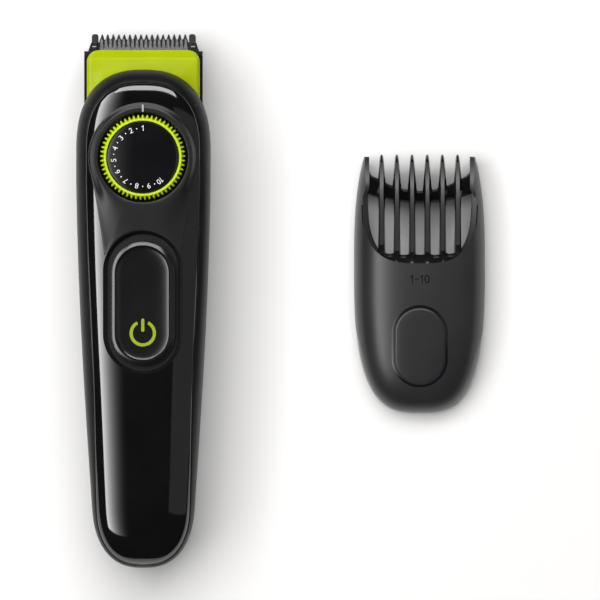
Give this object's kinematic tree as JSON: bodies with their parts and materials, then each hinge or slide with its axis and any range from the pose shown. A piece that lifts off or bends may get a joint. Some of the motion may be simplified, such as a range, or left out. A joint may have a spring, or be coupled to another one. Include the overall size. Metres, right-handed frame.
{
  "type": "beard trimmer",
  "caption": "Cordless beard trimmer with a lime cutting head, a toothed length dial, a sliding power switch and a separate comb attachment.",
  "frame": {"origin": "centre of the flat rest face on the back of the trimmer, which lies on its back", "axes": "+Z out of the dial face, +Y towards the blade, +X to the right seen from the front"},
  "size_m": [0.1275, 0.1663, 0.0323],
  "materials": {
    "housing_satin": "satin black moulded plastic",
    "panel_gloss": "high gloss black moulded plastic",
    "grip_rubber": "matt soft rubber",
    "bezel_matt": "fine matt moulded plastic",
    "seal_rubber": "matt rubber",
    "screw_steel": "turned steel",
    "spring_steel": "rolled spring steel",
    "switch_plastic": "matt moulded plastic",
    "motor_steel": "drawn steel can",
    "magnet_dark": "dark sintered magnet and laminations",
    "bush_brass": "turned brass",
    "frame_plastic": "matt black moulded plastic",
    "cell_sleeve": "shrink sleeve",
    "board_green": "solder mask",
    "lime_plastic": "bright lime moulded plastic",
    "dial_gloss": "gloss black moulded plastic",
    "slider_plastic": "satin gloss black moulded plastic",
    "lime_cover": "lime moulded plastic, satin gloss",
    "blade_steel": "ground stainless steel",
    "fork_white": "white acetal",
    "comb_satin": "satin dark grey moulded plastic"
  },
  "bodies": {
    "housing": {"front_shell": "housing_satin", "back_shell": "housing_satin", "front_panel": "panel_gloss", "back_grip_pad": "grip_rubber", "dial_bezel": "bezel_matt", "housing_seal": "seal_rubber", "housing_screws": "screw_steel", "dial_detent_spring": "spring_steel", "switch_body": "switch_plastic", "motor_can": "motor_steel", "motor_end_cap": "switch_plastic", "motor_magnets": "magnet_dark", "motor_bush": "bush_brass", "motor_bracket": "frame_plastic", "neck_plate": "frame_plastic", "shaft_seal": "seal_rubber", "inner_frame": "frame_plastic", "battery_cell": "cell_sleeve", "battery_contact_front": "spring_steel", "battery_contact_rear": "spring_steel", "circuit_board": "board_green", "board_components": "switch_plastic", "inlet_housing": "frame_plastic", "inlet_pins": "bush_brass"},
    "dial": {"dial_ring": "lime_plastic", "dial_cap": "dial_gloss", "dial_cam": "frame_plastic", "dial_screw": "screw_steel"},
    "comb_slide": {"comb_carrier": "housing_satin", "follower_pin": "screw_steel"},
    "power_switch": {"power_slider": "slider_plastic", "power_symbol": "lime_plastic", "slider_actuator": "frame_plastic", "switch_knob": "frame_plastic"},
    "rotor": {"motor_armature": "magnet_dark", "motor_shaft": "screw_steel", "eccentric": "frame_plastic"},
    "cutting_head": {"head_cover": "lime_cover", "head_base": "frame_plastic", "fixed_blade": "blade_steel", "blade_spring": "spring_steel", "blade_screws": "screw_steel"},
    "cutter": {"moving_blade": "blade_steel", "drive_fork": "fork_white"},
    "comb": {"comb_attachment": "comb_satin"}
  },
  "joints": [
    {"name": "dial_turn", "type": "hinge", "parent": "housing", "child": "dial", "pos_m": [0, 0.0444, 0.03], "axis": [0, 0, -1], "range_deg": [0, 216]},
    {"name": "comb_travel", "type": "slide", "parent": "housing", "child": "comb_slide", "axis": [0, 1, 0], "range_m": [0, 0.009]},
    {"name": "power_slide", "type": "slide", "parent": "housing", "child": "power_switch", "axis": [0, 1, 0], "range_m": [0, 0.0017]},
    {"name": "motor_spin", "type": "hinge", "parent": "housing", "child": "rotor", "pos_m": [0, 0.04, 0.0112], "axis": [0, 1, 0], "continuous": true},
    {"name": "head_release", "type": "slide", "parent": "housing", "child": "cutting_head", "axis": [0, 1, 0], "range_m": [0, 0.02]},
    {"name": "cutter_stroke", "type": "slide", "parent": "cutting_head", "child": "cutter", "axis": [1, 0, 0], "range_m": [-0.0006, 0.0006]},
    {"name": "comb_lift", "type": "slide", "parent": "housing", "child": "comb", "axis": [0, 0, 1], "range_m": [0, 0.06]}
  ],
  "couplings": [
    {"joint": "dial_turn", "follows": "comb_travel", "rad_per_m": 418.87}
  ]
}
